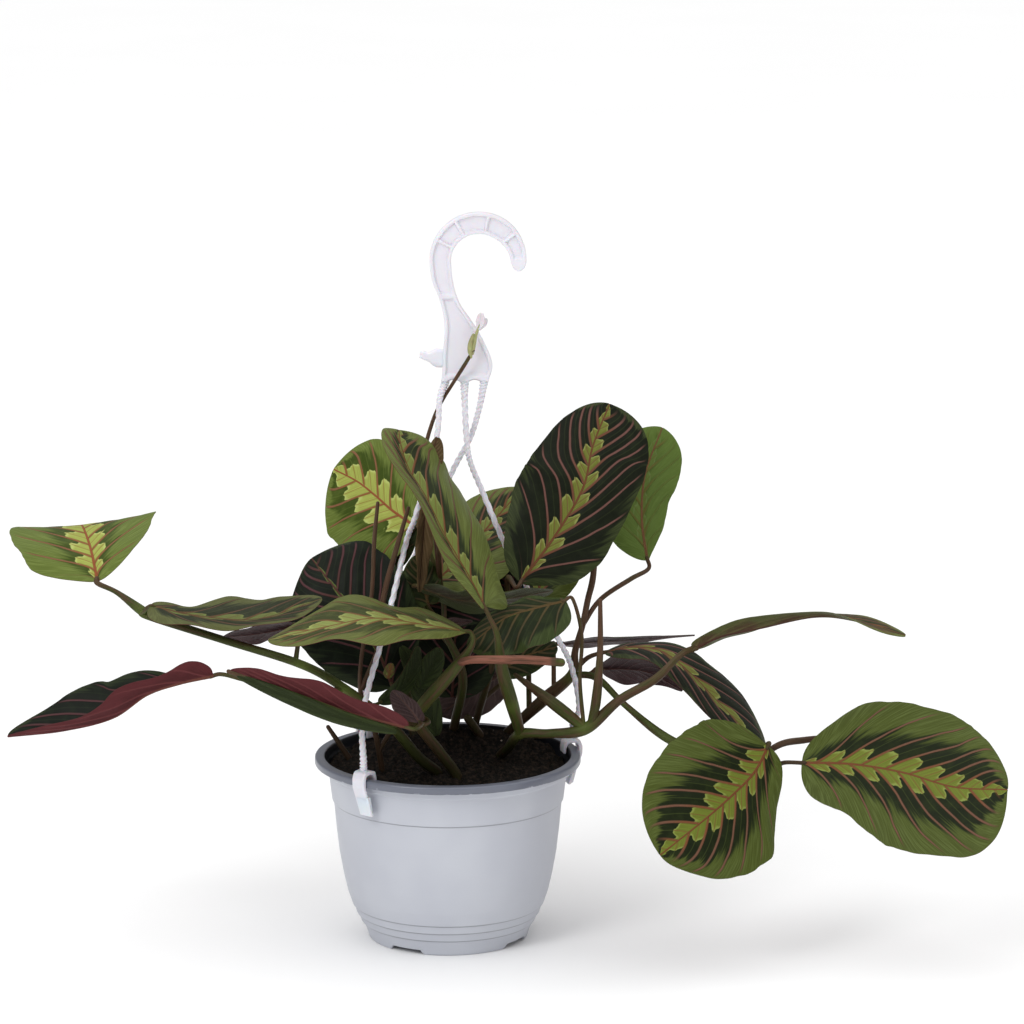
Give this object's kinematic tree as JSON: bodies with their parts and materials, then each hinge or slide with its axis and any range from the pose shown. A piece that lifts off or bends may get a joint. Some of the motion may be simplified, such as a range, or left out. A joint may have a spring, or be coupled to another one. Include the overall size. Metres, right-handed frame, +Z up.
{
  "type": "potted prayer plant",
  "caption": "Prayer plant with broad dark-patched, red-veined leaves on arching stems, growing in a round plastic pot with a clip-on hanger and hook.",
  "frame": {"origin": "centre of the pot's base, on the surface it stands on", "axes": "+Z up, -Y towards the front that the picture shows, +X to the right of that view"},
  "size_m": [0.5597, 0.2508, 0.4127],
  "materials": {
    "pot_plastic": "satin light grey outside, dark grey inside",
    "soil": "moist dark potting soil, a loose lumpy fill",
    "hanger_plastic": "translucent white",
    "leaf": "soft green leaf with dark patches and red veins, satin",
    "leaf_underside": "wine red underside of a leaf, satin",
    "dry_leaf": "brown withered leaf, matte",
    "stem": "smooth olive green stem",
    "cut_stem": "dry brown stump",
    "petal": "pale lilac petal, matte"
  },
  "bodies": {
    "root": {"pot": "pot_plastic", "soil": "soil", "hanger_hook": "hanger_plastic", "hanger_leg_left": "hanger_plastic", "hanger_leg_right": "hanger_plastic", "hanger_leg_back": "hanger_plastic", "leaf_top_large": "leaf", "leaf_top_pale": "leaf", "leaf_back_lime": "leaf", "leaf_front_arching": "leaf", "leaf_left_dark": "leaf", "leaf_far_left_low": "leaf", "leaf_left_bright": "leaf", "leaf_far_left_tip": "leaf", "leaf_left_twisted": "leaf_underside", "leaf_left_rolled": "leaf_underside", "leaf_centre_under": "leaf", "leaf_centre_green": "leaf", "leaf_centre_dark": "leaf", "leaf_right_folded": "leaf_underside", "leaf_right_drooping": "leaf", "leaf_right_burgundy": "leaf_underside", "leaf_low_right_round": "leaf", "leaf_low_right_large": "leaf", "leaf_right_reaching": "leaf", "leaf_low_purple": "leaf_underside", "leaf_narrow_curved": "leaf", "leaf_purple_sheath": "leaf_underside", "leaf_left_shaded": "leaf_underside", "leaf_dry_bract": "dry_leaf", "leaf_withered": "dry_leaf", "leaf_rear_left": "leaf", "leaf_rear_centre": "leaf", "leaf_rear_right": "leaf", "shoot_far_left": "stem", "shoot_left": "stem", "shoot_centre": "stem", "stalks_left": "stem", "shoot_right": "stem", "shoot_back_right": "stem", "shoot_top": "stem", "shoot_rear": "stem", "stub_left": "cut_stem", "stub_centre": "cut_stem", "flower": "petal"}
  },
  "joints": []
}
